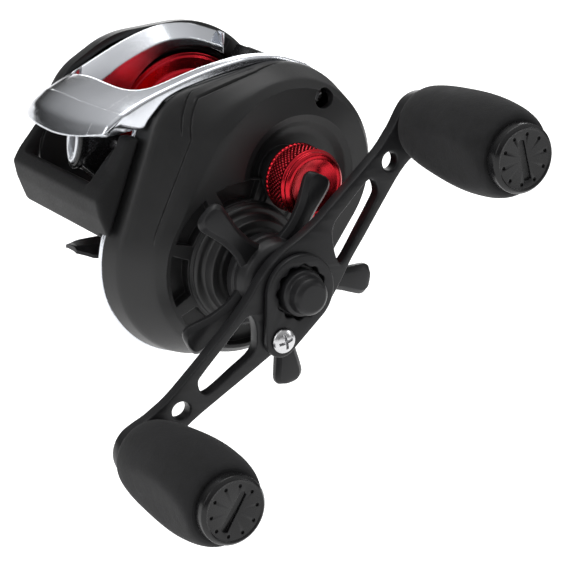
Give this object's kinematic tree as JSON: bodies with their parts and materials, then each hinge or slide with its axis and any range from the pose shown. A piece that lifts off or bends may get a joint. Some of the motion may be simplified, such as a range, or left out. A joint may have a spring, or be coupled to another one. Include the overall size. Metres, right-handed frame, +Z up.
{
  "type": "baitcasting reel",
  "caption": "Low-profile baitcasting fishing reel: line spool between two side covers, hood with a level-wind line guide, star drag, and a double crank with two foam knobs.",
  "frame": {"origin": "middle of the flat strip under the reel foot, where it rests in the rod's seat", "axes": "+X along the spool axis towards the crank, -Y along the rod towards its tip where the line leaves, +Z up out of the foot"},
  "size_m": [0.1144, 0.086, 0.0928],
  "materials": {
    "graphite": "satin black moulded graphite",
    "black_metal": "satin black anodised aluminium",
    "satin_chrome": "satin silver plating",
    "red_metal": "red anodised",
    "steel": "bright steel",
    "brass": "machined brass",
    "foam": "fine closed-cell foam, matte",
    "black_plastic": "semi-gloss black moulded plastic",
    "carbon": "dull carbon fibre drag disc",
    "ceramic": "polished ceramic ring"
  },
  "bodies": {
    "frame": {"main_frame": "graphite", "nose_guard": "graphite", "reel_foot": "black_metal", "foot_screw_front": "steel", "foot_screw_rear": "steel", "hood": "satin_chrome", "gear_case_trim": "satin_chrome", "handle_side_cover": "graphite", "palm_side_cover": "graphite", "thumb_rest": "graphite", "cover_screw": "steel", "spool_bearing_palm": "steel", "spool_bearing_handle": "steel", "pinion_bearing": "steel", "one_way_bearing": "steel", "worm_bushing_palm": "black_plastic", "worm_bushing_gear": "black_plastic", "guide_rod": "steel", "idler_pin": "steel"},
    "crank": {"drive_shaft": "steel", "drive_gear": "brass", "levelwind_drive_gear": "black_plastic", "ratchet_wheel": "steel", "drag_washer": "carbon", "pressure_plate": "steel", "clutch_sleeve": "steel", "spring_washer": "steel", "handle_arm": "black_metal", "handle_nut": "black_metal", "nut_retainer": "black_metal", "retainer_screw": "steel", "knob_spindle_upper": "steel", "knob_spindle_lower": "steel"},
    "star": {"star_drag": "black_metal"},
    "knob_upper": {"knob_core_upper": "black_plastic", "knob_grip_upper": "foam", "knob_cap_upper": "black_plastic", "knob_bearing_upper": "steel"},
    "knob_lower": {"knob_core_lower": "black_plastic", "knob_grip_lower": "foam", "knob_cap_lower": "black_plastic", "knob_bearing_lower": "steel"},
    "spool_body": {"spool": "red_metal", "spool_shaft": "steel"},
    "thumb": {"thumb_bar": "graphite"},
    "yoke": {"clutch_yoke": "black_plastic", "yoke_spring_upper": "steel", "yoke_spring_lower": "steel"},
    "pinion": {"pinion_gear": "brass"},
    "cast_cap": {"cast_control_cap": "red_metal", "tension_washer": "brass"},
    "brake": {"brake_dial": "black_plastic", "magnet_ring": "black_metal"},
    "worm": {"worm_shaft": "steel", "worm_gear": "black_plastic"},
    "idler": {"idler_gear": "black_plastic"},
    "guide": {"line_guide": "black_plastic", "guide_ring": "ceramic", "guide_pawl": "brass"}
  },
  "joints": [
    {"name": "crank_turn", "type": "hinge", "parent": "frame", "child": "crank", "pos_m": [0.0495, -0.0043, 0.003], "axis": [1, 0, 0], "continuous": true},
    {"name": "star_turn", "type": "hinge", "parent": "crank", "child": "star", "pos_m": [0.041, -0.0043, 0.003], "axis": [1, 0, 0], "range_deg": [-180, 180]},
    {"name": "knob_upper_spin", "type": "hinge", "parent": "crank", "child": "knob_upper", "pos_m": [0.0655, 0.02792, 0.03858], "axis": [1, 0, 0], "continuous": true},
    {"name": "knob_lower_spin", "type": "hinge", "parent": "crank", "child": "knob_lower", "pos_m": [0.0655, -0.03652, -0.03258], "axis": [1, 0, 0], "continuous": true},
    {"name": "spool_spin", "type": "hinge", "parent": "frame", "child": "spool_body", "pos_m": [-0.0027, 0.005, 0.0233], "axis": [1, 0, 0], "continuous": true},
    {"name": "thumb_press", "type": "slide", "parent": "frame", "child": "thumb", "axis": [0, 0.766, -0.6428], "range_m": [0, 0.0035]},
    {"name": "yoke_lift", "type": "slide", "parent": "frame", "child": "yoke", "axis": [1, 0, 0], "range_m": [0, 0.0012]},
    {"name": "pinion_spin", "type": "hinge", "parent": "yoke", "child": "pinion", "pos_m": [0.0198, 0.005, 0.0233], "axis": [1, 0, 0], "continuous": true},
    {"name": "cast_control_turn", "type": "hinge", "parent": "frame", "child": "cast_cap", "pos_m": [0.0363, 0.005, 0.0233], "axis": [1, 0, 0], "range_deg": [-180, 180]},
    {"name": "brake_dial_turn", "type": "hinge", "parent": "frame", "child": "brake", "pos_m": [-0.0296, 0.005, 0.0233], "axis": [-1, 0, 0], "range_deg": [0, 270]},
    {"name": "worm_spin", "type": "hinge", "parent": "frame", "child": "worm", "pos_m": [0, -0.0203, 0.0163], "axis": [1, 0, 0], "continuous": true},
    {"name": "idler_spin", "type": "hinge", "parent": "frame", "child": "idler", "pos_m": [0.01825, -0.01365, 0.01077], "axis": [1, 0, 0], "continuous": true},
    {"name": "guide_slide", "type": "slide", "parent": "frame", "child": "guide", "axis": [1, 0, 0], "range_m": [-0.0125, 0.0075]}
  ],
  "couplings": [
    {"joint": "spool_spin", "follows": "crank_turn", "ratio": -6.3636},
    {"joint": "pinion_spin", "follows": "crank_turn", "ratio": -6.3636},
    {"joint": "worm_spin", "follows": "crank_turn", "ratio": 1.8667},
    {"joint": "idler_spin", "follows": "crank_turn", "ratio": -1.6471},
    {"joint": "yoke_lift", "follows": "thumb_press", "ratio": 0.34286}
  ]
}
